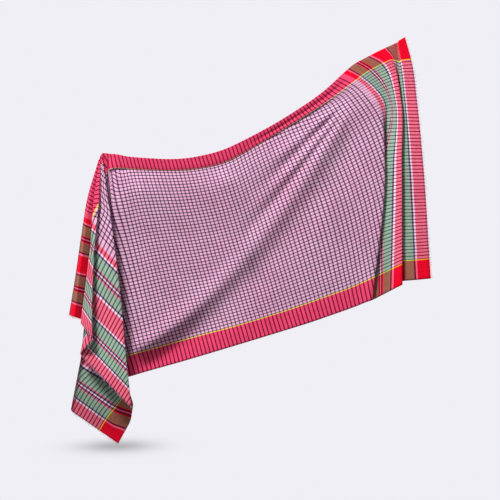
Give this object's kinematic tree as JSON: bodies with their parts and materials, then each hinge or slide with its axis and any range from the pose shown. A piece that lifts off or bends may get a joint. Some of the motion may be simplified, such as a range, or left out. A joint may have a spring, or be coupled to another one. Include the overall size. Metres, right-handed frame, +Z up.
{
  "type": "gamcha towel",
  "caption": "Checked handloom cotton towel with red borders and banded raw ends, hanging as a swag from a peak to a gathered corner with a cascade of folds.",
  "frame": {"origin": "the peak of the top selvedge, where the cascade of folds starts", "axes": "+X along the swag towards the gathered corner, +Y away from the viewer, +Z up"},
  "size_m": [1.0395, 0.1601, 1.1759],
  "materials": {
    "checked_cotton": "matt plain weave"
  },
  "bodies": {
    "root": {"towel": "checked_cotton"}
  },
  "joints": []
}
